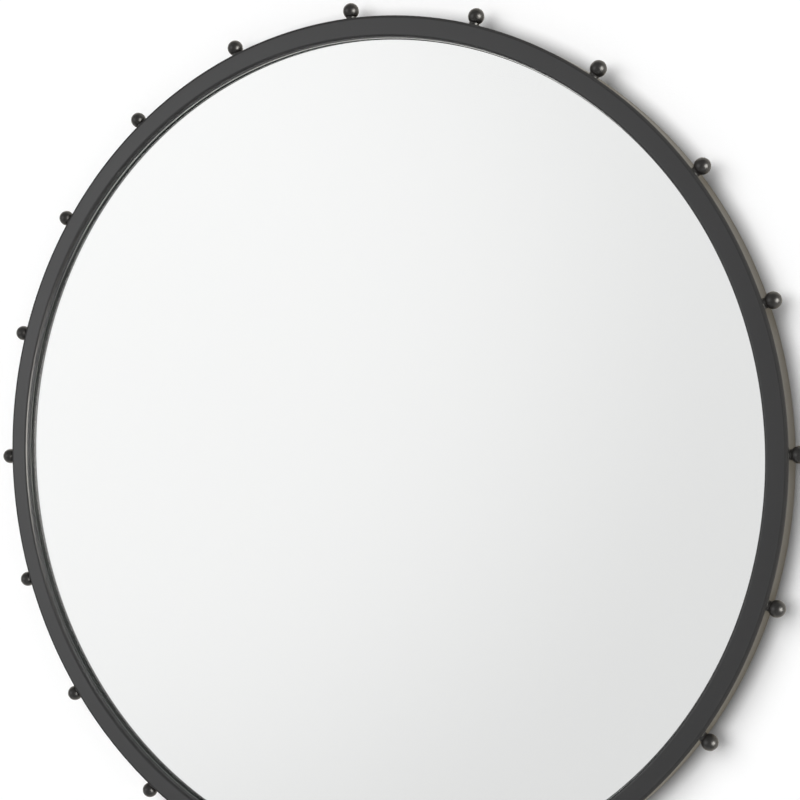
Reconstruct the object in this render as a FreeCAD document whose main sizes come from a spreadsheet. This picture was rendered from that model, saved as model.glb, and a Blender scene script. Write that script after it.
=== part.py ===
import FreeCAD, Part
import math
import os
import Sketcher

# Round wall mirror: a rolled and welded steel tube ring with twenty small balls standing on its
# outer side, a flat mirror set back inside the ring, a board behind it and two hanging rings.
#
# X is to the right and Z is up, seen from the front. The front faces -Y. The origin is the
# centre of the ring, in the plane of its flat rear side, which lies against the wall.

# Driving sizes in millimetres. Names that end in Count are counts.
drivingSizes = {
    # Ring of rectangular tube
    "frameDiameter": 880,
    "tubeFace": 21,
    "tubeDepth": 31,
    "tubeWall": 1.5,
    "tubeCorner": 2.8,
    # Balls and their studs
    "ballCount": 20,
    "ballDiameter": 16,
    "ballSetback": 8.6,
    "neckDiameter": 10,
    "neckHeight": 2.2,
    "studDiameter": 5,
    "studInTube": 6,
    "studInBall": 7,
    "studHoleSpare": 1,
    "threadClearance": 0.05,
    # Mirror glass and the strip around its edge
    "glassSetback": 8.2,
    "glassThickness": 3,
    "glassArris": 0.4,
    "gasketWidth": 0.8,
    "gasketLip": 0.8,
    "gasketRound": 0.5,
    # Double-sided foam strips between glass and board
    "bondThickness": 1,
    "bondWidth": 25,
    "bondSideMargin": 130,
    "bondEndMargin": 36,
    "bondCount": 6,
    # Backing board
    "boardThickness": 9,
    "boardGap": 1,
    # Steel tabs welded inside the ring, behind the board
    "tabCount": 8,
    "tabWidth": 26,
    "tabLength": 24,
    "tabThickness": 2,
    "tabCorner": 5,
    "tabHoleInset": 13,
    # Pan head screws, one size throughout
    "screwDiameter": 4,
    "screwLength": 9.5,
    "screwPoint": 2.5,
    "screwHeadDiameter": 8,
    "screwHeadHeight": 2.2,
    "screwHeadRound": 1.2,
    "screwHoleClearance": 0.25,
    "screwHoleSpare": 0.4,
    "recessSpan": 4.4,
    "recessWidth": 1.1,
    "recessDepth": 1.3,
    # Hanging rings in their straps
    "hangerSideInset": 189,
    "hangerTopInset": 169,
    "strapWidth": 14,
    "strapThickness": 1.2,
    "strapCorner": 5,
    "strapHoleInset": 8,
    "strapHolePitch": 12,
    "strapHeadClearance": 1,
    "loopRise": 0.25,
    "ringWire": 3,
    "ringPlay": 0.1,
    "ringWidth": 25,
    "ringHeight": 15.5,
    "ringShoulder": 3,
    "ringBend": 11,
}

# Places and sizes worked out from the driving sizes
outerRadius = "(Sizes.frameDiameter / 2)"
innerRadius = f"({outerRadius} - Sizes.tubeFace)"
hollowCorner = "(Sizes.tubeCorner - Sizes.tubeWall)"
frontY = "(-Sizes.tubeDepth)"
ballY = f"({frontY} + Sizes.ballSetback)"
ballReach = "sqrt((Sizes.ballDiameter / 2)^2 - (Sizes.neckDiameter / 2)^2)"
neckTop = f"({outerRadius} + Sizes.neckHeight)"
ballRadius = f"({neckTop} + {ballReach})"
studRadius = "(Sizes.studDiameter / 2)"
studHoleRadius = f"({studRadius} + Sizes.threadClearance)"
glassFront = f"({frontY} + Sizes.glassSetback)"
glassBack = f"({glassFront} + Sizes.glassThickness)"
glassRadius = f"({innerRadius} - Sizes.gasketWidth)"
gasketFront = f"({glassFront} - Sizes.gasketLip)"
bondFarEdge = f"({glassRadius} - Sizes.bondSideMargin)"
bondPitch = f"((2 * {bondFarEdge} - Sizes.bondWidth) / (Sizes.bondCount - 1))"
bondEnd = f"sqrt(({glassRadius} - Sizes.bondEndMargin)^2 - {bondFarEdge}^2)"
boardFront = f"({glassBack} + Sizes.bondThickness)"
boardBack = f"({boardFront} + Sizes.boardThickness)"
boardRadius = f"({innerRadius} - Sizes.boardGap)"
tabBack = f"({boardBack} + Sizes.tabThickness)"
tabOuter = f"sqrt({innerRadius}^2 - (Sizes.tabWidth / 2)^2)"
tabInner = f"({innerRadius} - Sizes.tabLength)"
tabHoleRadius = f"({innerRadius} - Sizes.tabHoleInset)"
screwPilotRadius = "(Sizes.screwDiameter / 2 + Sizes.threadClearance)"
screwHoleRadius = "(Sizes.screwDiameter / 2 + Sizes.screwHoleClearance)"
loopInner = "(Sizes.ringWire / 2 + Sizes.ringPlay)"
loopOuter = f"({loopInner} + Sizes.strapThickness)"
hangerX = f"({innerRadius} - Sizes.hangerSideInset)"
hangerZ = f"({innerRadius} - Sizes.hangerTopInset)"
ringCentreY = f"({boardBack} + Sizes.loopRise + {loopOuter})"
strapBack = f"({boardBack} + Sizes.strapThickness)"
ringFoot = f"({hangerZ} - Sizes.ringHeight - Sizes.ringWire / 2)"
highStrapHole = f"({ringFoot} - Sizes.strapHeadClearance - Sizes.screwHeadDiameter / 2)"
lowStrapHole = f"({highStrapHole} - Sizes.strapHolePitch)"
strapFoot = f"({lowStrapHole} - Sizes.strapHoleInset)"
hangerSides = {"left": -1, "right": 1}

doc = FreeCAD.newDocument("RoundMirror")
sizes = doc.addObject("Spreadsheet::Sheet", "Sizes")
for row, (alias, value) in enumerate(drivingSizes.items(), start=1):
    sizes.set(f"A{row}", alias)
    sizes.set(f"B{row}", str(value))
    sizes.setAlias(f"B{row}", alias)
doc.recompute()

nodes = []


def valueOf(expression):
    value = sizes.evalExpression(expression)
    return getattr(value, "Value", value)


def countOf(alias):
    return int(round(valueOf(f"Sizes.{alias}")))


def makeBody(label):
    body = doc.addObject("PartDesign::Body", label)
    body.Label = label
    nodes.append(body)
    return body


def originPart(body, role):
    return next(part for part in body.Origin.OriginFeatures if part.Role == role)


# A sketch on one of the body's own origin planes, moved along its x, y and z by expressions
def makeSketch(body, name, plane, x="0", y="0", z="0"):
    sketch = body.newObject("Sketcher::SketchObject", name)
    sketch.AttachmentSupport = [(originPart(body, plane), "")]
    sketch.MapMode = "FlatFace"
    sketch.setExpression(".AttachmentOffset.Base.x", x)
    sketch.setExpression(".AttachmentOffset.Base.y", y)
    sketch.setExpression(".AttachmentOffset.Base.z", z)
    return sketch


def bindConstraint(sketch, kind, *places, to):
    index = sketch.addConstraint(Sketcher.Constraint(kind, *places, valueOf(to)))
    sketch.setExpression(f"Constraints[{index}]", to)


def placePoint(sketch, geometry, point, x, y):
    bindConstraint(sketch, "DistanceX", -1, 1, geometry, point, to=x)
    bindConstraint(sketch, "DistanceY", -1, 1, geometry, point, to=y)


# A closed outline of straight lines. Each corner is (x, y), or (x, y, radius) where it is rounded.
def addOutline(sketch, corners):
    count = len(corners)
    points = [FreeCAD.Vector(valueOf(corner[0]), valueOf(corner[1]), 0) for corner in corners]
    starts = []
    ends = []
    for number, corner in enumerate(corners):
        point = points[number]
        toNext = (points[(number + 1) % count] - point).normalize()
        toLast = (points[number - 1] - point).normalize()
        setback = 0
        if len(corner) == 3:
            halfAngle = toNext.getAngle(toLast) / 2
            setback = valueOf(corner[2]) / math.tan(halfAngle)
        starts.append(point + toNext * setback)
        ends.append(point + toLast * setback)
    lines = []
    for number in range(count):
        segment = Part.LineSegment(starts[number], ends[(number + 1) % count])
        lines.append(sketch.addGeometry(segment, False))
    for number, corner in enumerate(corners):
        before = lines[number - 1]
        after = lines[number]
        if len(corner) == 2:
            sketch.addConstraint(Sketcher.Constraint("Coincident", before, 2, after, 1))
            placePoint(sketch, after, 1, corner[0], corner[1])
            continue
        roundCorner(sketch, before, after, points[number], corner)


# Joins two lines with a tangent arc about the corner that they would meet at
def roundCorner(sketch, before, after, point, corner):
    arrive = sketch.getPoint(before, 2)
    leave = sketch.getPoint(after, 1)
    bisector = ((arrive + leave) * 0.5 - point).normalize()
    radius = valueOf(corner[2])
    reach = (arrive.distanceToPoint(point) ** 2 + radius ** 2) ** 0.5
    middle = point + bisector * (reach - radius)
    arc = sketch.addGeometry(Part.Arc(arrive, middle, leave), False)
    arcStart = sketch.getPoint(arc, 1)
    startsHere = arcStart.distanceToPoint(arrive) < arcStart.distanceToPoint(leave)
    nearEnd, farEnd = (1, 2) if startsHere else (2, 1)
    sketch.addConstraint(Sketcher.Constraint("Tangent", before, 2, arc, nearEnd))
    sketch.addConstraint(Sketcher.Constraint("Tangent", arc, farEnd, after, 1))
    bindConstraint(sketch, "Radius", arc, to=corner[2])
    apex = sketch.addGeometry(Part.Point(point), True)
    sketch.addConstraint(Sketcher.Constraint("PointOnObject", apex, 1, before))
    sketch.addConstraint(Sketcher.Constraint("PointOnObject", apex, 1, after))
    placePoint(sketch, apex, 1, corner[0], corner[1])


def addCircle(sketch, x, y, radius):
    centre = FreeCAD.Vector(valueOf(x), valueOf(y), 0)
    circle = sketch.addGeometry(Part.Circle(centre, FreeCAD.Vector(0, 0, 1), valueOf(radius)), False)
    bindConstraint(sketch, "Radius", circle, to=radius)
    placePoint(sketch, circle, 3, x, y)


# Turns a section about one of its sketch's axes
def turn(body, name, sketch, axis):
    turned = body.newObject("PartDesign::Revolution", name)
    turned.Profile = sketch
    turned.ReferenceAxis = (sketch, [axis])
    turned.Angle = 360
    return turned


def extrude(body, name, sketch, length, backwards=False, middle=False):
    pad = body.newObject("PartDesign::Pad", name)
    pad.Profile = sketch
    pad.setExpression("Length", length)
    pad.Reversed = backwards
    pad.Midplane = middle
    return pad


# Cuts against the sketch's normal, or along it where it is set so, and checks that it took some away
def cut(body, name, sketch, depth, along=False):
    doc.recompute()
    before = body.Shape.Volume
    pocket = body.newObject("PartDesign::Pocket", name)
    pocket.Profile = sketch
    pocket.setExpression("Length", depth)
    pocket.Reversed = along
    doc.recompute()
    if not pocket.Shape.Volume < before:
        raise RuntimeError(f"{name} took nothing away from {body.Label}")
    return pocket


def repeatAround(body, name, features, count):
    pattern = body.newObject("PartDesign::PolarPattern", name)
    pattern.Originals = features
    pattern.Axis = (originPart(body, "Y_Axis"), [""])
    pattern.Angle = 360
    pattern.setExpression("Occurrences", count)
    body.Tip = pattern
    return pattern


def repeatAlong(body, name, features, axis, pitch, count):
    pattern = body.newObject("PartDesign::LinearPattern", name)
    pattern.Originals = features
    pattern.Direction = (originPart(body, axis), [""])
    pattern.setExpression("Length", f"{pitch} * ({count} - 1)")
    pattern.setExpression("Occurrences", count)
    body.Tip = pattern
    return pattern


# Turns a piece that was modelled at the top clockwise about the mirror's axis
def turnFromTop(body, angle):
    body.setExpression("Placement", f"placement(vector(0; 0; 0); rotation(vector(0; 1; 0); {angle}))")


# Ring: one rectangular tube rolled to a circle, with a hole for each stud in its outer wall
def buildFrame():
    body = makeBody("frame_ring")
    section = makeSketch(body, "tubeSection", "XY_Plane")
    addOutline(section, [
        (innerRadius, frontY, "Sizes.tubeCorner"),
        (outerRadius, frontY, "Sizes.tubeCorner"),
        (outerRadius, "0", "Sizes.tubeCorner"),
        (innerRadius, "0", "Sizes.tubeCorner"),
    ])
    addOutline(section, [
        (f"{innerRadius} + Sizes.tubeWall", f"{frontY} + Sizes.tubeWall", hollowCorner),
        (f"{outerRadius} - Sizes.tubeWall", f"{frontY} + Sizes.tubeWall", hollowCorner),
        (f"{outerRadius} - Sizes.tubeWall", "-Sizes.tubeWall", hollowCorner),
        (f"{innerRadius} + Sizes.tubeWall", "-Sizes.tubeWall", hollowCorner),
    ])
    turn(body, "rolledTube", section, "V_Axis")
    middleOfHollow = f"({outerRadius} - Sizes.tubeFace / 2)"
    outline = makeSketch(body, "studHoleOutline", "XY_Plane", z=middleOfHollow)
    addCircle(outline, "0", ballY, studHoleRadius)
    hole = cut(body, "studHole", outline, "Sizes.tubeFace", along=True)
    repeatAround(body, "studHoles", [hole], "Sizes.ballCount")


def placeAtTop(height):
    return f"placement(vector(0; {ballY}; {height}); rotation(vector(0; 0; 1); 0))"


# Ball: a steel sphere with a flat where it meets the neck and a tapped blind hole for the stud
def buildBall(number):
    body = makeBody(f"ball_{number + 1:02d}")
    sphere = body.newObject("PartDesign::AdditiveSphere", "sphere")
    sphere.setExpression("Radius", "Sizes.ballDiameter / 2")
    sphere.setExpression("Placement", placeAtTop(ballRadius))
    cuts = [
        ("flat", "Sizes.ballDiameter / 2", "Sizes.ballDiameter / 2", f"{neckTop} - Sizes.ballDiameter / 2"),
        ("studHole", studHoleRadius, "Sizes.studInBall + Sizes.studHoleSpare", neckTop),
    ]
    for name, radius, height, foot in cuts:
        cylinder = body.newObject("PartDesign::SubtractiveCylinder", name)
        cylinder.setExpression("Radius", radius)
        cylinder.setExpression("Height", height)
        cylinder.setExpression("Placement", placeAtTop(foot))
    turnFromTop(body, f"{number} * 360 / Sizes.ballCount")


# Studs: a short wide neck with a threaded pin on both sides, into the tube and into the ball
def buildStuds():
    body = makeBody("ball_studs")
    section = makeSketch(body, "studSection", "YZ_Plane", x=ballY)
    addOutline(section, [
        ("0", f"{outerRadius} - Sizes.studInTube"),
        (studRadius, f"{outerRadius} - Sizes.studInTube"),
        (studRadius, outerRadius),
        ("Sizes.neckDiameter / 2", outerRadius),
        ("Sizes.neckDiameter / 2", neckTop),
        (studRadius, neckTop),
        (studRadius, f"{neckTop} + Sizes.studInBall"),
        ("0", f"{neckTop} + Sizes.studInBall"),
    ])
    stud = turn(body, "stud", section, "V_Axis")
    repeatAround(body, "studRing", [stud], "Sizes.ballCount")


# Flat mirror glass with ground edges
def buildGlass():
    body = makeBody("mirror_glass")
    section = makeSketch(body, "glassSection", "XY_Plane")
    addOutline(section, [
        ("0", glassFront),
        (f"{glassRadius} - Sizes.glassArris", glassFront),
        (glassRadius, f"{glassFront} + Sizes.glassArris"),
        (glassRadius, f"{glassBack} - Sizes.glassArris"),
        (f"{glassRadius} - Sizes.glassArris", glassBack),
        ("0", glassBack),
    ])
    turn(body, "glassDisc", section, "V_Axis")


# Pale strip pressed in between the glass edge and the ring, standing a little in front of the glass
def buildGasket():
    body = makeBody("edge_gasket")
    section = makeSketch(body, "gasketSection", "XY_Plane")
    addOutline(section, [
        (glassRadius, gasketFront, "Sizes.gasketRound"),
        (innerRadius, gasketFront),
        (innerRadius, glassBack),
        (glassRadius, glassBack),
    ])
    turn(body, "gasketRing", section, "V_Axis")


# Upright strips of double-sided foam tape that hold the glass on the board
def buildBondStrips():
    body = makeBody("bond_strips")
    outline = makeSketch(body, "stripOutline", "XZ_Plane", z=f"-{glassBack}")
    addOutline(outline, [
        (f"-{bondFarEdge}", f"-{bondEnd}"),
        (f"Sizes.bondWidth - {bondFarEdge}", f"-{bondEnd}"),
        (f"Sizes.bondWidth - {bondFarEdge}", bondEnd),
        (f"-{bondFarEdge}", bondEnd),
    ])
    strip = extrude(body, "strip", outline, "Sizes.bondThickness", backwards=True)
    repeatAlong(body, "strips", [strip], "X_Axis", bondPitch, "Sizes.bondCount")


# Fibreboard disc with pilot holes for the tab screws and the strap screws
def buildBoard():
    body = makeBody("backing_board")
    section = makeSketch(body, "boardSection", "XY_Plane")
    addOutline(section, [
        ("0", boardFront),
        (boardRadius, boardFront),
        (boardRadius, boardBack),
        ("0", boardBack),
    ])
    turn(body, "boardDisc", section, "V_Axis")
    strapPilots = makeSketch(body, "strapPilotOutline", "XZ_Plane", z=f"-{boardBack}")
    for side in hangerSides.values():
        for height in (lowStrapHole, highStrapHole):
            addCircle(strapPilots, f"{side} * {hangerX}", height, screwPilotRadius)
    strapPilotDepth = "Sizes.screwLength - Sizes.strapThickness + Sizes.screwHoleSpare"
    cut(body, "strapPilots", strapPilots, strapPilotDepth, along=True)
    tabPilot = makeSketch(body, "tabPilotOutline", "XZ_Plane", z=f"-{boardBack}")
    addCircle(tabPilot, "0", tabHoleRadius, screwPilotRadius)
    tabPilotDepth = "Sizes.screwLength - Sizes.tabThickness + Sizes.screwHoleSpare"
    pilot = cut(body, "tabPilot", tabPilot, tabPilotDepth, along=True)
    repeatAround(body, "tabPilots", [pilot], "Sizes.tabCount")


# Tab: a flat steel lug welded to the ring's inner wall, with a clearance hole for its screw
def buildTab(number):
    body = makeBody(f"board_tab_{number + 1}")
    outline = makeSketch(body, "tabOutline", "XZ_Plane", z=f"-{boardBack}")
    addOutline(outline, [
        ("-Sizes.tabWidth / 2", tabInner, "Sizes.tabCorner"),
        ("Sizes.tabWidth / 2", tabInner, "Sizes.tabCorner"),
        ("Sizes.tabWidth / 2", tabOuter),
        ("-Sizes.tabWidth / 2", tabOuter),
    ])
    addCircle(outline, "0", tabHoleRadius, screwHoleRadius)
    extrude(body, "tabPlate", outline, "Sizes.tabThickness", backwards=True)
    turnFromTop(body, f"{number} * 360 / Sizes.tabCount")


# One screw along -Y with its head's underside at seatY, and the crossed slots in its head
def addScrew(body, name, x, seatY, z):
    section = makeSketch(body, f"{name}Section", "YZ_Plane", x=seatY, y=z, z=x)
    addOutline(section, [
        ("-Sizes.screwLength", "0"),
        ("Sizes.screwHeadHeight", "0"),
        ("Sizes.screwHeadHeight", "Sizes.screwHeadDiameter / 2", "Sizes.screwHeadRound"),
        ("0", "Sizes.screwHeadDiameter / 2"),
        ("0", "Sizes.screwDiameter / 2"),
        ("Sizes.screwPoint - Sizes.screwLength", "Sizes.screwDiameter / 2"),
    ])
    shank = turn(body, name, section, "H_Axis")
    slots = makeSketch(body, f"{name}Slots", "XZ_Plane", x=x, y=z, z=f"-({seatY} + Sizes.screwHeadHeight)")
    reach = "Sizes.recessSpan / 2"
    half = "Sizes.recessWidth / 2"
    addOutline(slots, [
        (half, half), (half, reach), (f"-{half}", reach), (f"-{half}", half),
        (f"-{reach}", half), (f"-{reach}", f"-{half}"), (f"-{half}", f"-{half}"), (f"-{half}", f"-{reach}"),
        (half, f"-{reach}"), (half, f"-{half}"), (reach, f"-{half}"), (reach, half),
    ])
    recess = cut(body, f"{name}Recess", slots, "Sizes.recessDepth", along=True)
    return [shank, recess]


def buildTabScrews():
    body = makeBody("tab_screws")
    features = addScrew(body, "tabScrew", "0", tabBack, tabHoleRadius)
    repeatAround(body, "tabScrews", features, "Sizes.tabCount")


def buildStrapScrews():
    body = makeBody("strap_screws")
    for label, side in hangerSides.items():
        for place, height in (("Low", lowStrapHole), ("High", highStrapHole)):
            addScrew(body, f"{label}{place}", f"{side} * {hangerX}", strapBack, height)


# Strap: a steel strip screwed to the board, its top end rolled around the hanging ring's bar
def buildStrap(label, side):
    body = makeBody(f"hanger_strap_{label}")
    outline = makeSketch(body, "stripOutline", "XZ_Plane", x=f"{side} * {hangerX}", z=f"-{boardBack}")
    addOutline(outline, [
        ("-Sizes.strapWidth / 2", strapFoot, "Sizes.strapCorner"),
        ("Sizes.strapWidth / 2", strapFoot, "Sizes.strapCorner"),
        ("Sizes.strapWidth / 2", hangerZ),
        ("-Sizes.strapWidth / 2", hangerZ),
    ])
    addCircle(outline, "0", lowStrapHole, screwHoleRadius)
    addCircle(outline, "0", highStrapHole, screwHoleRadius)
    extrude(body, "strip", outline, "Sizes.strapThickness", backwards=True)
    loop = makeSketch(body, "loopOutline", "YZ_Plane", x=ringCentreY, y=hangerZ, z=f"{side} * {hangerX}")
    addCircle(loop, "0", "0", loopOuter)
    addCircle(loop, "0", "0", loopInner)
    extrude(body, "loop", loop, "Sizes.strapWidth", middle=True)


# Hanging ring: round wire bent to a D, its straight bar in the strap's loop. At rest it hangs down.
def buildRing(label, side):
    body = makeBody(f"hanger_ring_{label}")
    path = makeSketch(body, "wirePath", "XZ_Plane", x=f"{side} * {hangerX}", y=hangerZ, z=f"-{ringCentreY}")
    addOutline(path, [
        ("-Sizes.ringWidth / 2", "0", "Sizes.ringShoulder"),
        ("-Sizes.ringWidth / 2", "-Sizes.ringHeight", "Sizes.ringBend"),
        ("Sizes.ringWidth / 2", "-Sizes.ringHeight", "Sizes.ringBend"),
        ("Sizes.ringWidth / 2", "0", "Sizes.ringShoulder"),
    ])
    section = makeSketch(body, "wireSection", "YZ_Plane", x=ringCentreY, y=hangerZ, z=f"{side} * {hangerX}")
    addCircle(section, "0", "0", "Sizes.ringWire / 2")
    wire = body.newObject("PartDesign::AdditivePipe", "bentWire")
    wire.Profile = section
    wire.Spine = path


def checkDocument():
    for item in doc.Objects:
        if "Invalid" in item.State or "Error" in item.State:
            raise RuntimeError(f"{item.Label} didn't build: {item.State}")
    for node in nodes:
        if node.Shape.isNull() or not node.Shape.isValid():
            raise RuntimeError(f"{node.Label} has no valid shape")


buildFrame()
for ballNumber in range(countOf("ballCount")):
    buildBall(ballNumber)
buildStuds()
buildGlass()
buildGasket()
buildBondStrips()
buildBoard()
for tabNumber in range(countOf("tabCount")):
    buildTab(tabNumber)
buildTabScrews()
for hangerLabel, hangerSide in hangerSides.items():
    buildStrap(hangerLabel, hangerSide)
    buildRing(hangerLabel, hangerSide)
buildStrapScrews()
doc.recompute()
checkDocument()

os.makedirs("parts", exist_ok=True)
for node in nodes:
    node.Shape.exportStep(f"parts/{node.Label}.step")
    bounds = node.Shape.BoundBox
    print(f"{node.Label}: {len(node.Shape.Solids)} solids, {node.Shape.Volume:.0f} mm3, "
          f"X {bounds.XMin:.1f} to {bounds.XMax:.1f}, Y {bounds.YMin:.1f} to {bounds.YMax:.1f}, "
          f"Z {bounds.ZMin:.1f} to {bounds.ZMax:.1f}")
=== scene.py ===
import math

import bpy
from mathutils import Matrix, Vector


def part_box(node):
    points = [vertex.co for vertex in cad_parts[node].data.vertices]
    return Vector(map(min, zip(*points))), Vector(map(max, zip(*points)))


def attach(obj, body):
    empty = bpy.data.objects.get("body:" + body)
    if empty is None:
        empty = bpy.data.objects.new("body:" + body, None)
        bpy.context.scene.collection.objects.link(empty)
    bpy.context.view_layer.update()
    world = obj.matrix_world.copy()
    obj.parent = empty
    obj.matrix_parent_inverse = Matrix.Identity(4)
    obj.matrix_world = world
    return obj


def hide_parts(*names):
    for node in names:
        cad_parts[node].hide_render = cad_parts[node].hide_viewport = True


# Round wall mirror: a deep ring of dark painted tube with small balls standing around it.
# X to the right, Z up, the front faces -Y, the wall plane is y = 0. Metres.

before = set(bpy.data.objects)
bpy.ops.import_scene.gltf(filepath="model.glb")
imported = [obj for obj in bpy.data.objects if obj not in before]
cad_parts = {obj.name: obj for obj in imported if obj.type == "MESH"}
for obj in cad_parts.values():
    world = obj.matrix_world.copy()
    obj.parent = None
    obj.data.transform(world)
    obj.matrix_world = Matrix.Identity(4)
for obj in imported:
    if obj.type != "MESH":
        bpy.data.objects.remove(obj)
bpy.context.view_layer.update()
scene = bpy.context.scene
scene.view_settings.view_transform = "Standard"

quarterTurn = math.radians(90)
fullTurn = math.radians(360)
# points closer than this are one point, or lie on one level
mergeDistance = 0.000002
sameLevel = 0.00001
# a face whose normal has at least this much along Y is one of the flat ones
flatNormal = 0.99

# the camera of the photograph, worked out from the ring and its balls
photoView = {
    "lens": 76.38,
    "sensor": 36.0,
    "place": (0.8246, -1.5303, 0.0449),
    "turn": (89.231, 0.875, 27.228),
    "shiftX": 0.0,
    "shiftY": 0.04156,
    "near": 0.05,
    "far": 50,
}


def makeCamera():
    camera = bpy.data.objects.new("photoCamera", bpy.data.cameras.new("photoCamera"))
    scene.collection.objects.link(camera)
    camera.data.lens = photoView["lens"]
    camera.data.sensor_width = photoView["sensor"]
    camera.data.shift_x = photoView["shiftX"]
    camera.data.shift_y = photoView["shiftY"]
    camera.data.clip_start, camera.data.clip_end = photoView["near"], photoView["far"]
    camera.location = photoView["place"]
    camera.rotation_euler = [math.radians(a) for a in photoView["turn"]]
    scene.camera = camera


makeCamera()
print("camera placed")


def enterEdit():
    bpy.ops.object.mode_set(mode="EDIT")


def leaveEdit():
    bpy.ops.object.mode_set(mode="OBJECT")


def selectMesh(action="SELECT"):
    bpy.ops.mesh.select_all(action=action)


def deselectAll():
    if bpy.context.object and bpy.context.object.mode != "OBJECT":
        leaveEdit()
    bpy.ops.object.select_all(action="DESELECT")


def pick(piece):
    deselectAll()
    piece.select_set(True)
    bpy.context.view_layer.objects.active = piece


def settle(piece):
    # place, turn and size go into the mesh, so the object is left at the origin
    pick(piece)
    bpy.ops.object.transform_apply(location=True, rotation=True, scale=True)


def clearChoice(piece, kind):
    # nothing is selected any more, and edit mode will work on faces, edges or points
    pick(piece)
    enterEdit()
    bpy.ops.mesh.select_mode(type=kind)
    selectMesh("DESELECT")
    leaveEdit()


def editFaces(piece, wanted):
    # enters edit mode with the faces selected for which wanted(face) is true
    clearChoice(piece, "FACE")
    for face in piece.data.polygons:
        face.select = wanted(face)
    enterEdit()


def editEdges(piece, wanted):
    # the same for edges; wanted gets the two end points
    clearChoice(piece, "EDGE")
    points = piece.data.vertices
    for edge in piece.data.edges:
        edge.select = wanted(*(points[v].co for v in edge.vertices))
    enterEdit()


def editPoints(piece, wanted):
    # and for single points
    clearChoice(piece, "VERT")
    for point in piece.data.vertices:
        point.select = wanted(point.co)
    enterEdit()


def mendMesh(piece):
    # doubles merged, normals outwards
    pick(piece)
    enterEdit()
    selectMesh()
    bpy.ops.mesh.remove_doubles(threshold=mergeDistance)
    bpy.ops.mesh.normals_make_consistent(inside=False)
    leaveEdit()


def smooth(piece, angle):
    pick(piece)
    bpy.ops.object.shade_smooth_by_angle(angle=math.radians(angle))


def flattenShading(piece):
    # wide faces keep their own direction, the rounding takes up the turn
    pick(piece)
    piece.modifiers.new("evenFaces", "WEIGHTED_NORMAL").keep_sharp = True
    bpy.ops.object.modifier_apply(modifier="evenFaces")


def paint(piece, *finishes):
    piece.data.materials.clear()
    for finish in finishes:
        piece.data.materials.append(finish)


def addNode(tree, kind, **values):
    node = tree.nodes.new(kind)
    for name, value in values.items():
        if name in node.inputs:
            node.inputs[name].default_value = value
        else:
            setattr(node, name, value)
    return node


def wire(tree, *pairs):
    for start, end in pairs:
        tree.links.new(start, end)


def feed(tree, socket, value):
    # a number or a colour is set on the socket, an output is wired to it
    if isinstance(value, (int, float)):
        socket.default_value = value
    elif isinstance(value, tuple):
        socket.default_value = (*value, 1)
    else:
        tree.links.new(value, socket)


def addMath(tree, operation, a, b, clamp=False):
    node = addNode(tree, "ShaderNodeMath", operation=operation, use_clamp=clamp)
    feed(tree, node.inputs[0], a)
    feed(tree, node.inputs[1], b)
    return node.outputs[0]


def mixColours(tree, factor, first, second):
    node = addNode(tree, "ShaderNodeMix", data_type="RGBA")
    feed(tree, node.inputs[0], factor)
    feed(tree, node.inputs[6], first)
    feed(tree, node.inputs[7], second)
    return node.outputs[2]


def mixLevels(tree, factor, first, second):
    node = addNode(tree, "ShaderNodeMix", data_type="FLOAT")
    feed(tree, node.inputs[0], factor)
    feed(tree, node.inputs[2], first)
    feed(tree, node.inputs[3], second)
    return node.outputs[0]


def addRange(tree, value, **limits):
    named = {name.replace("_", " "): limit for name, limit in limits.items()}
    node = addNode(tree, "ShaderNodeMapRange", **named)
    wire(tree, (value, node.inputs["Value"]))
    return node.outputs[0]


def addRise(tree, value, low, high):
    node = addNode(tree, "ShaderNodeMapRange", interpolation_type="SMOOTHSTEP",
                   **{"From Min": low, "From Max": high})
    wire(tree, (value, node.inputs["Value"]))
    return node.outputs[0]


def newGroup(name, inputs, outputs):
    group = bpy.data.node_groups.new(name, "ShaderNodeTree")
    for label, kind, value in inputs:
        socket = group.interface.new_socket(label, in_out="INPUT", socket_type=kind)
        if value is not None:
            socket.default_value = value
    for label, kind in outputs:
        group.interface.new_socket(label, in_out="OUTPUT", socket_type=kind)
    start = group.nodes.new("NodeGroupInput")
    end = group.nodes.new("NodeGroupOutput")
    return group, start, end


def useGroup(tree, group, **values):
    node = tree.nodes.new("ShaderNodeGroup")
    node.node_tree = group
    for name, value in values.items():
        node.inputs[name].default_value = value
    return node


def newMaterial(name):
    material = bpy.data.materials.new(name)
    material.use_nodes = True
    tree = material.node_tree
    shader = tree.nodes["Principled BSDF"]
    coords = addNode(tree, "ShaderNodeTexCoord")
    return material, tree, shader, coords.outputs["Object"]


def setShader(shader, **values):
    for name, value in values.items():
        shader.inputs[name.replace("_", " ")].default_value = value


def makeGrain():
    # two sizes of noise: a fine one for the skin of a finish and a broad one for its tone
    group, start, end = newGroup(
        "surfaceGrain",
        [("Vector", "NodeSocketVector", None), ("Fine Scale", "NodeSocketFloat", 900.0),
         ("Broad Scale", "NodeSocketFloat", 14.0), ("Detail", "NodeSocketFloat", 3.0)],
        [("Height", "NodeSocketFloat"), ("Tone", "NodeSocketFloat")])
    fine = addNode(group, "ShaderNodeTexNoise")
    broad = addNode(group, "ShaderNodeTexNoise", Detail=4.0, Roughness=0.6)
    wire(group,
         (start.outputs["Vector"], fine.inputs["Vector"]),
         (start.outputs["Vector"], broad.inputs["Vector"]),
         (start.outputs["Fine Scale"], fine.inputs["Scale"]),
         (start.outputs["Broad Scale"], broad.inputs["Scale"]),
         (start.outputs["Detail"], fine.inputs["Detail"]),
         (fine.outputs["Fac"], end.inputs["Height"]),
         (broad.outputs["Fac"], end.inputs["Tone"]))
    return group


wearValues = {"samples": 4, "edgeFrom": 0.995, "edgeTo": 0.9, "spotFrom": 0.38, "spotTo": 0.62}


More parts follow.
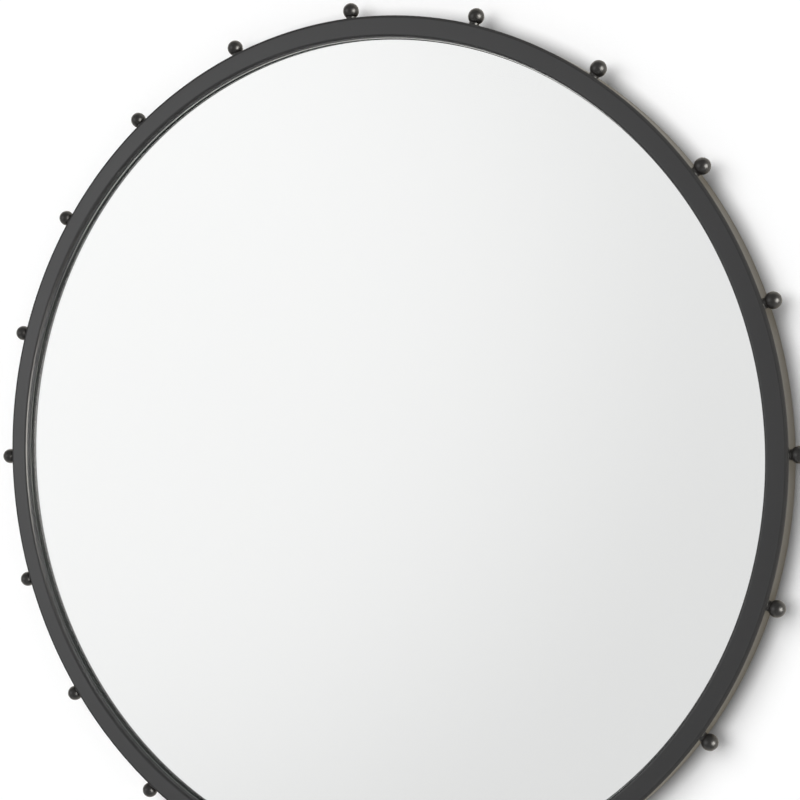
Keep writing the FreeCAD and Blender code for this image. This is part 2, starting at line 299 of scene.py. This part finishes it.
def makeEdgeWear():
    # a mask along sharp edges, broken up by noise
    group, start, end = newGroup(
        "edgeWear",
        [("Vector", "NodeSocketVector", None), ("Width", "NodeSocketFloat", 0.0006),
         ("Breakup", "NodeSocketFloat", 300.0)],
        [("Mask", "NodeSocketFloat")])
    rounded = addNode(group, "ShaderNodeBevel", samples=wearValues["samples"])
    flat = addNode(group, "ShaderNodeNewGeometry")
    likeness = addNode(group, "ShaderNodeVectorMath", operation="DOT_PRODUCT")
    spots = addNode(group, "ShaderNodeTexNoise", Detail=3.0)
    wire(group,
         (start.outputs["Width"], rounded.inputs["Radius"]),
         (rounded.outputs["Normal"], likeness.inputs[0]),
         (flat.outputs["Normal"], likeness.inputs[1]),
         (start.outputs["Vector"], spots.inputs["Vector"]),
         (start.outputs["Breakup"], spots.inputs["Scale"]))
    edge = addRange(group, likeness.outputs["Value"],
                    From_Min=wearValues["edgeFrom"], From_Max=wearValues["edgeTo"])
    speckled = addRange(group, spots.outputs["Fac"],
                        From_Min=wearValues["spotFrom"], From_Max=wearValues["spotTo"])
    wire(group, (addMath(group, "MULTIPLY", edge, speckled), end.inputs["Mask"]))
    return group


def makeToneShift():
    # pushes a colour a little lighter or darker with a tone between 0 and 1
    group, start, end = newGroup(
        "toneShift",
        [("Colour", "NodeSocketColor", (0.5, 0.5, 0.5, 1)), ("Tone", "NodeSocketFloat", 0.5),
         ("Amount", "NodeSocketFloat", 0.1)],
        [("Colour", "NodeSocketColor")])
    centred = addMath(group, "SUBTRACT", start.outputs["Tone"], 0.5)
    swing = addMath(group, "MULTIPLY", centred, start.outputs["Amount"])
    gain = addMath(group, "ADD", swing, 1.0)
    scaled = addNode(group, "ShaderNodeVectorMath", operation="SCALE")
    wire(group,
         (start.outputs["Colour"], scaled.inputs[0]),
         (gain, scaled.inputs["Scale"]),
         (scaled.outputs[0], end.inputs["Colour"]))
    return group


surfaceGrain = makeGrain()
edgeWear = makeEdgeWear()
toneShift = makeToneShift()


def grained(tree, coords, shader, values, bumpGain=1.0):
    # the usual start of a finish: toned colour, fine bump and a roughness that wanders a little
    grain = useGroup(tree, surfaceGrain, **{"Fine Scale": values["grain"], "Broad Scale": values["blotch"],
                                            "Detail": values.get("detail", 3.0)})
    tone = useGroup(tree, toneShift, Amount=values["tone"], Colour=(*values["colour"], 1))
    bump = addNode(tree, "ShaderNodeBump", Strength=1.0, Distance=values["bump"] * bumpGain)
    wire(tree,
         (coords, grain.inputs["Vector"]),
         (grain.outputs["Tone"], tone.inputs["Tone"]),
         (grain.outputs["Height"], bump.inputs["Height"]),
         (bump.outputs["Normal"], shader.inputs["Normal"]),
         (tone.outputs["Colour"], shader.inputs["Base Color"]))
    swing = values.get("swing", 0)
    if swing:
        low, high = values["rough"] - swing, values["rough"] + swing
        wander = addRange(tree, grain.outputs["Tone"], To_Min=low, To_Max=high)
        wire(tree, (wander, shader.inputs["Roughness"]))
    else:
        shader.inputs["Roughness"].default_value = values["rough"]
    return tone


def tinted(tree, coords, shader, values):
    # only a toned colour, for surfaces that have to stay clear and flat
    grain = useGroup(tree, surfaceGrain, **{"Fine Scale": values["grain"], "Broad Scale": values["blotch"]})
    tone = useGroup(tree, toneShift, Amount=values["tone"], Colour=(*values["colour"], 1))
    wire(tree,
         (coords, grain.inputs["Vector"]),
         (grain.outputs["Tone"], tone.inputs["Tone"]),
         (tone.outputs["Colour"], shader.inputs["Base Color"]))


def addWear(tree, coords, shader, under, values):
    wear = useGroup(tree, edgeWear, Width=values["wearWidth"], Breakup=values["wearBreakup"])
    wire(tree, (coords, wear.inputs["Vector"]))
    amount = addMath(tree, "MULTIPLY", wear.outputs["Mask"], values["wear"])
    wire(tree, (mixColours(tree, amount, under, values["worn"]), shader.inputs["Base Color"]))


def addAxis(tree, coords, letter):
    axes = addNode(tree, "ShaderNodeSeparateXYZ")
    wire(tree, (coords, axes.inputs[0]))
    return axes.outputs[letter]


def addRadius(tree, coords):
    # how far a point is from the middle axis of the ring
    flat = addNode(tree, "ShaderNodeVectorMath", operation="MULTIPLY")
    flat.inputs[1].default_value = (1, 0, 1)
    length = addNode(tree, "ShaderNodeVectorMath", operation="LENGTH")
    wire(tree, (coords, flat.inputs[0]), (flat.outputs[0], length.inputs[0]))
    return length.outputs["Value"]


# tone is how far the colour swings and swing how far the roughness does, grain and blotch are the
# fine and the broad size of the noise, and bump is the height of the grain
finishValues = {
    "frame": {"colour": (0.017, 0.017, 0.0175), "tone": 0.16, "grain": 1500.0, "blotch": 9.0, "bump": 0.00002,
              "rough": 0.38, "swing": 0.04,
              "worn": (0.05, 0.05, 0.052), "wear": 0.35, "wearWidth": 0.0004, "wearBreakup": 500.0,
              "cornerFrom": 0.4366, "cornerTo": 0.4376, "frontFrom": 0.0258, "frontTo": 0.0272},
    "ball": {"colour": (0.013, 0.012, 0.011), "tone": 0.5, "grain": 2200.0, "blotch": 160.0, "bump": 0.000006,
             "rough": 0.36, "swing": 0.05},
    # the seal's pale top and the dark on the inner part of its flank are painted light and shade
    "seal": {"colour": (0.36, 0.39, 0.37), "tone": 0.12, "grain": 700.0, "blotch": 30.0, "bump": 0.00002,
             "rough": 0.3, "swing": 0.06,
             "paintedLightColour": (0.94, 0.94, 0.91), "paintedLightFrom": 0.05, "paintedLightTo": 0.28,
             "faceFrom": 0.41848, "faceTo": 0.41862, "flankLitFrom": 0.15, "flankLitTo": 0.32},
    "edge": {"colour": (0.012, 0.016, 0.014), "tone": 0.3, "grain": 1200.0, "blotch": 60.0, "bump": 0.00002,
             "rough": 0.6, "swing": 0.05},
    "glass": {"colour": (0.995, 0.998, 0.996), "tone": 0.004, "grain": 30.0, "blotch": 3.0},
    "silver": {"colour": (0.965, 0.97, 0.967), "tone": 0.01, "grain": 60.0, "blotch": 2.5},
    "backPaint": {"colour": (0.23, 0.24, 0.25), "tone": 0.15, "grain": 400.0, "blotch": 12.0, "bump": 0.00003,
                  "rough": 0.55, "swing": 0.05},
    "foam": {"colour": (0.75, 0.75, 0.73), "tone": 0.1, "grain": 500.0, "blotch": 40.0, "bump": 0.0001,
             "rough": 0.9, "cells": 1600.0},
    "board": {"colour": (0.42, 0.31, 0.21), "tone": 0.22, "grain": 1400.0, "blotch": 7.0, "bump": 0.00004,
              "rough": 0.82, "swing": 0.06, "detail": 8.0,
              "fleckColour": (0.24, 0.16, 0.10), "fleckScale": 2600.0, "fleckAmount": 0.35,
              "fleckFrom": 0.42, "fleckTo": 0.66},
    "strapZinc": {"colour": (0.62, 0.63, 0.65), "tone": 0.25, "grain": 1800.0, "blotch": 120.0,
                  "bump": 0.00001, "rough": 0.36, "swing": 0.08,
                  "bluish": (0.52, 0.54, 0.60), "bluishAmount": 0.25, "spangle": 900.0,
                  "worn": (0.78, 0.78, 0.77), "wear": 0.6, "wearWidth": 0.0003, "wearBreakup": 700.0},
}
finishValues["screwZinc"] = {**finishValues["strapZinc"], "rough": 0.26, "bluish": (0.60, 0.62, 0.68)}


def makePlain(name, values):
    material, tree, shader, coords = newMaterial(name)
    grained(tree, coords, shader, values)
    return material


def makeFramePaint(name, bumpGain=1.0, cornerRough=0.0):
    values = finishValues["frame"]
    material, tree, shader, coords = newMaterial(name)
    tone = grained(tree, coords, shader, values, bumpGain)
    addWear(tree, coords, shader, tone.outputs["Colour"], values)
    if cornerRough:
        # the outer front corner is duller than the flats, so it draws a dark line
        outer = addRise(tree, addRadius(tree, coords), values["cornerFrom"], values["cornerTo"])
        depth = addMath(tree, "MULTIPLY", addAxis(tree, coords, "Y"), -1.0)
        front = addRise(tree, depth, values["frontFrom"], values["frontTo"])
        swung = shader.inputs["Roughness"].links[0].from_socket
        corner = addMath(tree, "MULTIPLY", addMath(tree, "MULTIPLY", outer, front), cornerRough)
        wire(tree, (addMath(tree, "ADD", swung, corner, clamp=True), shader.inputs["Roughness"]))
    return material


def makeSealRubber():
    values = finishValues["seal"]
    material, tree, shader, coords = newMaterial("edgeSeal")
    tone = grained(tree, coords, shader, values)
    # painted light and shade: the seal is paler towards the top, where more light falls on it, and below the
    # top the part that turns down to the glass is painted dark as shade
    height = addAxis(tree, coords, "Z")
    paintedTopLight = addRise(tree, height, values["paintedLightFrom"], values["paintedLightTo"])
    wire(tree, (mixColours(tree, paintedTopLight, values["colour"], values["paintedLightColour"]), tone.inputs["Colour"]))
    face = addRise(tree, addRadius(tree, coords), values["faceFrom"], values["faceTo"])
    litPart = addMath(tree, "MAXIMUM", face, addRise(tree, height, values["flankLitFrom"], values["flankLitTo"]))
    # the glass edge's dark colour stands in here as painted shade on the seal
    seen = mixColours(tree, litPart, finishValues["edge"]["colour"], tone.outputs["Colour"])
    wire(tree, (seen, shader.inputs["Base Color"]))
    return material


def makeClearGlass():
    material, tree, shader, coords = newMaterial("clearGlass")
    setShader(shader, Roughness=0.0, IOR=1.52, Transmission_Weight=1.0)
    tinted(tree, coords, shader, finishValues["glass"])
    return material


def makeSilver():
    material, tree, shader, coords = newMaterial("mirrorSilver")
    setShader(shader, Metallic=1.0, Roughness=0.0)
    tinted(tree, coords, shader, finishValues["silver"])
    return material


def makeFoam():
    values = finishValues["foam"]
    material, tree, shader, coords = newMaterial("foamTape")
    grained(tree, coords, shader, values)
    # open cells in place of the fine grain
    bump = shader.inputs["Normal"].links[0].from_node
    cells = addNode(tree, "ShaderNodeTexVoronoi", Scale=values["cells"])
    wire(tree, (coords, cells.inputs["Vector"]), (cells.outputs["Distance"], bump.inputs["Height"]))
    return material


def makeBoard():
    values = finishValues["board"]
    material, tree, shader, coords = newMaterial("fibreboard")
    tone = grained(tree, coords, shader, values)
    fibres = addNode(tree, "ShaderNodeTexNoise", Scale=values["fleckScale"], Detail=6.0, Roughness=0.7)
    wire(tree, (coords, fibres.inputs["Vector"]))
    flecks = addRange(tree, fibres.outputs["Fac"], From_Min=values["fleckFrom"], From_Max=values["fleckTo"])
    amount = addMath(tree, "MULTIPLY", flecks, values["fleckAmount"])
    flecked = mixColours(tree, amount, tone.outputs["Colour"], values["fleckColour"])
    wire(tree, (flecked, shader.inputs["Base Color"]))
    return material


def makeZinc(name, values):
    material, tree, shader, coords = newMaterial(name)
    setShader(shader, Metallic=1.0)
    tone = grained(tree, coords, shader, values)
    spangle = addNode(tree, "ShaderNodeTexVoronoi", Scale=values["spangle"])
    wire(tree, (coords, spangle.inputs["Vector"]))
    amount = addMath(tree, "MULTIPLY", spangle.outputs["Color"], values["bluishAmount"])
    addWear(tree, coords, shader, mixColours(tree, amount, tone.outputs["Colour"], values["bluish"]), values)
    return material


framePaint = makeFramePaint("framePaint", cornerRough=0.6)
weldPaint = makeFramePaint("weldPaint", bumpGain=3.0)
ballPaint = makePlain("ballPaint", finishValues["ball"])
sealRubber = makeSealRubber()
edgePaint = makePlain("glassEdgePaint", finishValues["edge"])
clearGlass = makeClearGlass()
mirrorSilver = makeSilver()
backPaint = makePlain("mirrorBackPaint", finishValues["backPaint"])
foamTape = makeFoam()
fibreboard = makeBoard()
zincSteel = makeZinc("zincSteel", finishValues["strapZinc"])
zincScrew = makeZinc("zincScrew", finishValues["screwZinc"])
print("finishes made")

finishOf = {
    "frame_ring": framePaint,
    "ball_studs": ballPaint,
    "edge_gasket": sealRubber,
    "bond_strips": foamTape,
    "backing_board": fibreboard,
    "tab_screws": zincScrew,
    "strap_screws": zincScrew,
}
for name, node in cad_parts.items():
    finish = finishOf.get(name)
    if name.startswith("ball_") and name != "ball_studs":
        finish = ballPaint
    elif name.startswith("board_tab"):
        finish = framePaint
    elif name.startswith("hanger_"):
        finish = zincSteel
    if finish:
        for slot in node.material_slots:
            slot.material = finish
print("finishes on the packed parts")


# a section in the XY plane is shaped first and then swept around the Y axis
def addSection(name, inner, outer, front, back):
    deselectAll()
    bpy.ops.mesh.primitive_plane_add(size=1, location=((inner + outer) / 2, (front + back) / 2, 0))
    piece = bpy.context.object
    piece.name = piece.data.name = name
    piece.scale = (outer - inner, back - front, 1)
    settle(piece)
    return piece


def roundCorners(piece, radius, segments, wanted, profile=0.5):
    editPoints(piece, wanted)
    bpy.ops.mesh.bevel(offset=radius, segments=segments, affect="VERTICES", profile=profile)
    leaveEdit()


def sweepSection(piece, steps):
    pick(piece)
    enterEdit()
    selectMesh()
    bpy.ops.mesh.delete(type="ONLY_FACE")
    selectMesh()
    bpy.ops.mesh.spin(steps=steps, angle=fullTurn, center=(0, 0, 0), axis=(0, 1, 0))
    leaveEdit()
    mendMesh(piece)


ringSizes = {"outer": 0.440, "face": 0.021, "corner": 0.0028, "cornerSegments": 7, "steps": 480,
             "smoothAngle": 30}


def makeRing():
    low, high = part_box("frame_ring")
    outer = ringSizes["outer"]
    ring = addSection("frameTube", outer - ringSizes["face"], outer, low.y, high.y)
    roundCorners(ring, ringSizes["corner"], ringSizes["cornerSegments"], lambda point: True)
    sweepSection(ring, ringSizes["steps"])
    smooth(ring, ringSizes["smoothAngle"])
    flattenShading(ring)
    paint(ring, framePaint)
    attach(ring, "mirror_body")
    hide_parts("frame_ring")


sealSizes = {"steps": 480, "play": 0.00002, "innerRound": 0.0005, "innerSegments": 5,
             "outerRound": 0.0001, "outerSegments": 2, "smoothAngle": 40}


def makeSeal():
    low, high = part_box("edge_gasket")
    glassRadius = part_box("mirror_glass")[1].x
    inner = glassRadius + sealSizes["play"]
    outer = ringSizes["outer"] - ringSizes["face"] - sealSizes["play"]
    middle, depth = (inner + outer) / 2, (low.y + high.y) / 2
    seal = addSection("sealBead", inner, outer, low.y, high.y)
    roundCorners(seal, sealSizes["innerRound"], sealSizes["innerSegments"],
                 lambda point: point.x < middle and point.y < depth)
    roundCorners(seal, sealSizes["outerRound"], sealSizes["outerSegments"],
                 lambda point: point.x > middle and point.y < depth)
    sweepSection(seal, sealSizes["steps"])
    smooth(seal, sealSizes["smoothAngle"])
    paint(seal, sealRubber)
    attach(seal, "mirror_body")
    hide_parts("edge_gasket")


makeRing()
makeSeal()
print("ring and seal made")

filletSizes = {"neckRadius": 0.005, "reach": 0.0010, "height": 0.0007, "sunk": 0.00015, "hollow": 0.08,
               "round": 0.00078, "segments": 6, "steps": 32, "count": 20, "ballPlane": -0.0224,
               "smoothAngle": 50}


def makeFillets():
    # a small concave bead around the neck of the top ball, then turned copies of it, joined to one piece
    neck, sunk = filletSizes["neckRadius"], filletSizes["sunk"]
    fillet = addSection("neckFillets", neck - sunk, neck + filletSizes["reach"], -sunk, filletSizes["height"])
    roundCorners(fillet, filletSizes["round"], filletSizes["segments"],
                 lambda point: point.x > neck and point.y > 0, filletSizes["hollow"])
    sweepSection(fillet, filletSizes["steps"])
    fillet.rotation_euler = (quarterTurn, 0, 0)
    fillet.location = (0, filletSizes["ballPlane"], ringSizes["outer"])
    settle(fillet)
    smooth(fillet, filletSizes["smoothAngle"])
    copies = []
    for step in range(1, filletSizes["count"]):
        copy = fillet.copy()
        copy.data = fillet.data.copy()
        scene.collection.objects.link(copy)
        copy.rotation_euler = (0, fullTurn * step / filletSizes["count"], 0)
        copies.append(copy)
    deselectAll()
    for copy in copies:
        copy.select_set(True)
    fillet.select_set(True)
    bpy.context.view_layer.objects.active = fillet
    bpy.ops.object.join()
    settle(fillet)
    paint(fillet, ballPaint)
    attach(fillet, "mirror_body")


makeFillets()
print("fillets made")


weldSizes = {"length": 0.020, "radius": 0.0015, "sides": 12, "flat": 0.8, "ripples": 14, "ripple": 1.14,
             "endShrink": 0.45, "place": (0, -0.0079, 0.41845), "count": 8, "smoothAngle": 70}


def makeWelds():
    # a ripple is every other ring of points made wider; both end rings are drawn in
    length, ripples = weldSizes["length"], weldSizes["ripples"]
    deselectAll()
    bpy.ops.mesh.primitive_cylinder_add(vertices=weldSizes["sides"], radius=weldSizes["radius"], depth=length,
                                        rotation=(0, quarterTurn, 0))
    bead = bpy.context.object
    bead.name = bead.data.name = "tabWeld_1"
    settle(bead)
    places = [length * (step / (2 * ripples) - 0.5) for step in range(2 * ripples + 1)]
    enterEdit()
    for place in places[1:-1]:
        selectMesh()
        bpy.ops.mesh.bisect(plane_co=(place, 0, 0), plane_no=(1, 0, 0))
    leaveEdit()
    for number, place in enumerate(places):
        last = number in (0, len(places) - 1)
        if number % 2 and not last:
            continue
        width = weldSizes["endShrink"] if last else weldSizes["ripple"]
        editPoints(bead, lambda point: abs(point.x - place) < sameLevel)
        bpy.ops.transform.resize(value=(1, width, width), center_override=(place, 0, 0))
        leaveEdit()
    bead.scale = (1, weldSizes["flat"], 1)
    settle(bead)
    bead.location = weldSizes["place"]
    settle(bead)
    smooth(bead, weldSizes["smoothAngle"])
    for number in range(1, weldSizes["count"] + 1):
        piece = bead
        if number > 1:
            piece = bead.copy()
            piece.data = bead.data.copy()
            piece.name = piece.data.name = "tabWeld_%d" % number
            scene.collection.objects.link(piece)
            piece.rotation_euler = (0, fullTurn * (number - 1) / weldSizes["count"], 0)
            settle(piece)
        paint(piece, weldPaint)
        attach(piece, "mirror_body")


makeWelds()
print("weld beads made")


# clear glass with its silver on the back
glassSizes = {"segments": 360, "play": 0.00005, "arris": 0.0004, "arrisSegments": 2, "smoothAngle": 12,
              "silverMargin": 0.0003, "silverThickness": 0.00008, "silverInset": 0.00006,
              "silverSmoothAngle": 30, "borderWidth": 0.002}


def addDisc(name, radius, front, back, segments):
    deselectAll()
    bpy.ops.mesh.primitive_cylinder_add(vertices=segments, radius=radius, depth=back - front,
                                        location=(0, (front + back) / 2, 0),
                                        rotation=(quarterTurn, 0, 0))
    piece = bpy.context.object
    piece.name = piece.data.name = name
    settle(piece)
    return piece


def makePane():
    low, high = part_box("mirror_glass")
    radius = high.x - glassSizes["play"]
    pane = addDisc("mirrorPane", radius, low.y, high.y, glassSizes["segments"])
    editEdges(pane, lambda a, b: abs(a.y - b.y) < sameLevel)
    bpy.ops.mesh.bevel(offset=glassSizes["arris"], segments=glassSizes["arrisSegments"], affect="EDGES")
    leaveEdit()
    mendMesh(pane)
    smooth(pane, glassSizes["smoothAngle"])
    paint(pane, clearGlass, edgePaint)
    for face in pane.data.polygons:
        if abs(face.normal.y) < flatNormal:
            face.material_index = 1
    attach(pane, "mirror_body")
    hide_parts("mirror_glass")
    return radius, high.y


def makeSilverSheet(radius, back):
    rear = back - glassSizes["silverInset"]
    sheet = addDisc("mirrorSilvering", radius - glassSizes["silverMargin"],
                    rear - glassSizes["silverThickness"], rear, glassSizes["segments"])
    editFaces(sheet, lambda face: face.normal.y > flatNormal)
    bpy.ops.mesh.inset(thickness=glassSizes["borderWidth"], depth=0)
    leaveEdit()
    mendMesh(sheet)
    paint(sheet, mirrorSilver, backPaint)
    for face in sheet.data.polygons:
        if face.normal.y > -flatNormal:
            face.material_index = 1
    smooth(sheet, glassSizes["silverSmoothAngle"])
    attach(sheet, "mirror_body")


makeSilverSheet(*makePane())
print("glass and silver made")


stageSizes = {"wallReach": 4.0, "wallHole": 0.438, "wallSegments": 360, "wallGap": 0.0002,
              "floorLevel": -1.6, "floorWidth": 8.0, "floorBehind": 4.0, "floorFront": 2.4}


# glow is seen by the camera only; the painted reflection is a warm glow that only the paint's reflections see
backdropValues = {
    "wallPlaster": {"colour": (0.97, 0.97, 0.97), "glow": 0.01, "paintedReflection": 0.35},
    "floorPale": {"colour": (0.88, 0.88, 0.87), "glow": 0.25, "paintedReflection": 0.0},
}
# the nook values darken the wall's colour in the corner by the ring: painted shade
backdropSkin = {"tone": 0.012, "grain": 420.0, "blotch": 3.0, "bump": 0.00012, "rough": 0.9,
                "nookDepth": 0.016, "nookFrom": 0.5, "nookShade": 0.55, "nookSamples": 12,
                # the warm colour here is the hue of the painted reflection
                "paintedReflectionColour": (1.0, 0.83, 0.52)}


def makeBackdropMaterial(name):
    values = {**backdropSkin, **backdropValues[name]}
    material, tree, shader, coords = newMaterial(name)
    tone = grained(tree, coords, shader, values)
    setShader(shader, Specular_IOR_Level=0.0)
    # painted shade: the base colour is darkened by an occlusion node in the corner between wall and ring and
    # close behind the balls
    nook = addNode(tree, "ShaderNodeAmbientOcclusion", samples=values["nookSamples"],
                   Distance=values["nookDepth"])
    shade = addRange(tree, nook.outputs["AO"], From_Min=values["nookFrom"], To_Min=values["nookShade"])
    shaded = mixColours(tree, shade, (0.0, 0.0, 0.0), tone.outputs["Colour"])
    wire(tree, (shaded, shader.inputs["Base Color"]))
    path = addNode(tree, "ShaderNodeLightPath")
    seen = addMath(tree, "MULTIPLY", path.outputs["Is Camera Ray"], values["glow"])
    # painted reflection: the wall glows warm in what the paint reflects, though it is no lamp
    paintedReflectionGlow = addMath(tree, "MULTIPLY", path.outputs["Is Glossy Ray"], values["paintedReflection"])
    hue = mixColours(tree, path.outputs["Is Glossy Ray"], (1.0, 1.0, 1.0), values["paintedReflectionColour"])
    wire(tree,
         (hue, shader.inputs["Emission Color"]),
         (addMath(tree, "ADD", seen, paintedReflectionGlow), shader.inputs["Emission Strength"]))
    # clear from behind, so that the back of the mirror can be seen through it
    side = addNode(tree, "ShaderNodeNewGeometry")
    clear = addNode(tree, "ShaderNodeBsdfTransparent")
    mix = addNode(tree, "ShaderNodeMixShader")
    wire(tree,
         (side.outputs["Backfacing"], mix.inputs[0]),
         (shader.outputs[0], mix.inputs[1]),
         (clear.outputs[0], mix.inputs[2]),
         (mix.outputs[0], tree.nodes["Material Output"].inputs["Surface"]))
    return material


def makeWall():
    # a disc with a round hole behind the ring, where the wall never shows from the front
    deselectAll()
    hole = stageSizes["wallHole"]
    bpy.ops.mesh.primitive_circle_add(vertices=stageSizes["wallSegments"], radius=hole, fill_type="NOTHING",
                                      location=(0, stageSizes["wallGap"], 0), rotation=(quarterTurn, 0, 0))
    wall = bpy.context.object
    wall.name = "backWall"
    settle(wall)
    pick(wall)
    enterEdit()
    bpy.ops.mesh.select_mode(type="EDGE")
    selectMesh()
    bpy.ops.mesh.extrude_region_move()
    reach = stageSizes["wallReach"] / hole
    bpy.ops.transform.resize(value=(reach, 1, reach), center_override=(0, 0, 0))
    selectMesh()
    bpy.ops.mesh.bisect(plane_co=(0, 0, stageSizes["floorLevel"]), plane_no=(0, 0, 1), clear_inner=True)
    leaveEdit()
    if wall.data.polygons[0].normal.y > 0:
        wall.data.flip_normals()
    paint(wall, makeBackdropMaterial("wallPlaster"))


def makeFloor():
    deselectAll()
    behind, front = stageSizes["floorBehind"], stageSizes["floorFront"]
    bpy.ops.mesh.primitive_plane_add(size=1, location=(0, (behind - front) / 2, stageSizes["floorLevel"]))
    floor = bpy.context.object
    floor.name = "studioFloor"
    floor.scale = (stageSizes["floorWidth"], behind + front, 1)
    settle(floor)
    paint(floor, makeBackdropMaterial("floorPale"))
    floor.visible_diffuse = False


makeWall()
makeFloor()

# off is in degrees from straight ahead of the wall, round in degrees in the wall's plane from the right
# over the top, and seen says which surfaces a lamp lights, the matt ones or those that reflect
lampValues = {
    "broadLight": {"off": 28, "round": 135, "width": 56, "strength": 2.05, "seen": "diffuse"},
    "frontLight": {"off": 12, "round": 195, "width": 30, "strength": 0.36, "seen": "diffuse"},
    "sideLight": {"off": 69, "round": -5, "width": 38, "strength": 6.5, "seen": "glossy"},
    "rearLight": {"off": 145, "round": 120, "width": 50, "strength": 1.6, "seen": "diffuse"},
}
lampColours = {"diffuse": (1, 1, 1), "glossy": (1, 0.97, 0.91)}
lampDistance = 3


def makeLamps():
    for name, values in lampValues.items():
        lamp = bpy.data.objects.new(name, bpy.data.lights.new(name, "SUN"))
        scene.collection.objects.link(lamp)
        off, around = math.radians(values["off"]), math.radians(values["round"])
        towards = Vector((math.sin(off) * math.cos(around), -math.cos(off), math.sin(off) * math.sin(around)))
        lamp.rotation_euler = towards.to_track_quat("Z", "Y").to_euler()
        lamp.location = towards * lampDistance
        lamp.data.energy = values["strength"]
        lamp.data.angle = math.radians(values["width"])
        lamp.data.color = lampColours[values["seen"]]
        lamp.visible_glossy = values["seen"] == "glossy"
        lamp.visible_diffuse = values["seen"] == "diffuse"
        lamp.visible_transmission = False


skyValues = {
    # what lights the matt surfaces
    "fill": 0.36,
    # what the glass shows, brighter to the left and upwards, with a window far to the right
    "mirrorLevel": 0.756, "mirrorSlope": (-0.208, 0.0, 0.221), "mirrorLow": 0.7, "mirrorHigh": 1.1,
    "windowFrom": 0.05, "windowTo": 0.6, "windowBright": 1.6,
    # what the paint shows: a dim room with one soft bright area in front on the left
    "glossBase": 0.36, "softPlace": (-0.61, -0.79, 0.05), "softEdge": 0.93, "softCore": 0.995,
    "softBright": 2.2,
}


def makeSky():
    world = bpy.data.worlds.new("studioSky")
    scene.world = world
    world.use_nodes = True
    tree = world.node_tree
    background = tree.nodes["Background"]
    background.inputs["Color"].default_value = (1, 1, 1, 1)
    direction = addNode(tree, "ShaderNodeTexCoord").outputs["Generated"]
    path = addNode(tree, "ShaderNodeLightPath")

    def along(way):
        dot = addNode(tree, "ShaderNodeVectorMath", operation="DOT_PRODUCT")
        dot.inputs[1].default_value = way
        wire(tree, (direction, dot.inputs[0]))
        return dot.outputs["Value"]

    sloped = addMath(tree, "ADD", along(skyValues["mirrorSlope"]), skyValues["mirrorLevel"])
    raised = addMath(tree, "MAXIMUM", sloped, skyValues["mirrorLow"])
    kept = addMath(tree, "MINIMUM", raised, skyValues["mirrorHigh"])
    window = addRise(tree, addAxis(tree, direction, "X"), skyValues["windowFrom"], skyValues["windowTo"])
    mirrorSky = addMath(tree, "ADD", kept, addMath(tree, "MULTIPLY", window, skyValues["windowBright"]))

    soft = addRise(tree, along(skyValues["softPlace"]), skyValues["softEdge"], skyValues["softCore"])
    softGain = addMath(tree, "MULTIPLY", soft, skyValues["softBright"])
    glossSky = addMath(tree, "ADD", softGain, skyValues["glossBase"])

    level = mixLevels(tree, path.outputs["Is Glossy Ray"], skyValues["fill"], glossSky)
    level = mixLevels(tree, path.outputs["Is Transmission Ray"], level, mirrorSky)
    level = mixLevels(tree, path.outputs["Is Camera Ray"], level, 1.0)
    wire(tree, (level, background.inputs["Strength"]))


makeLamps()
makeSky()
print("wall, floor and lights made")
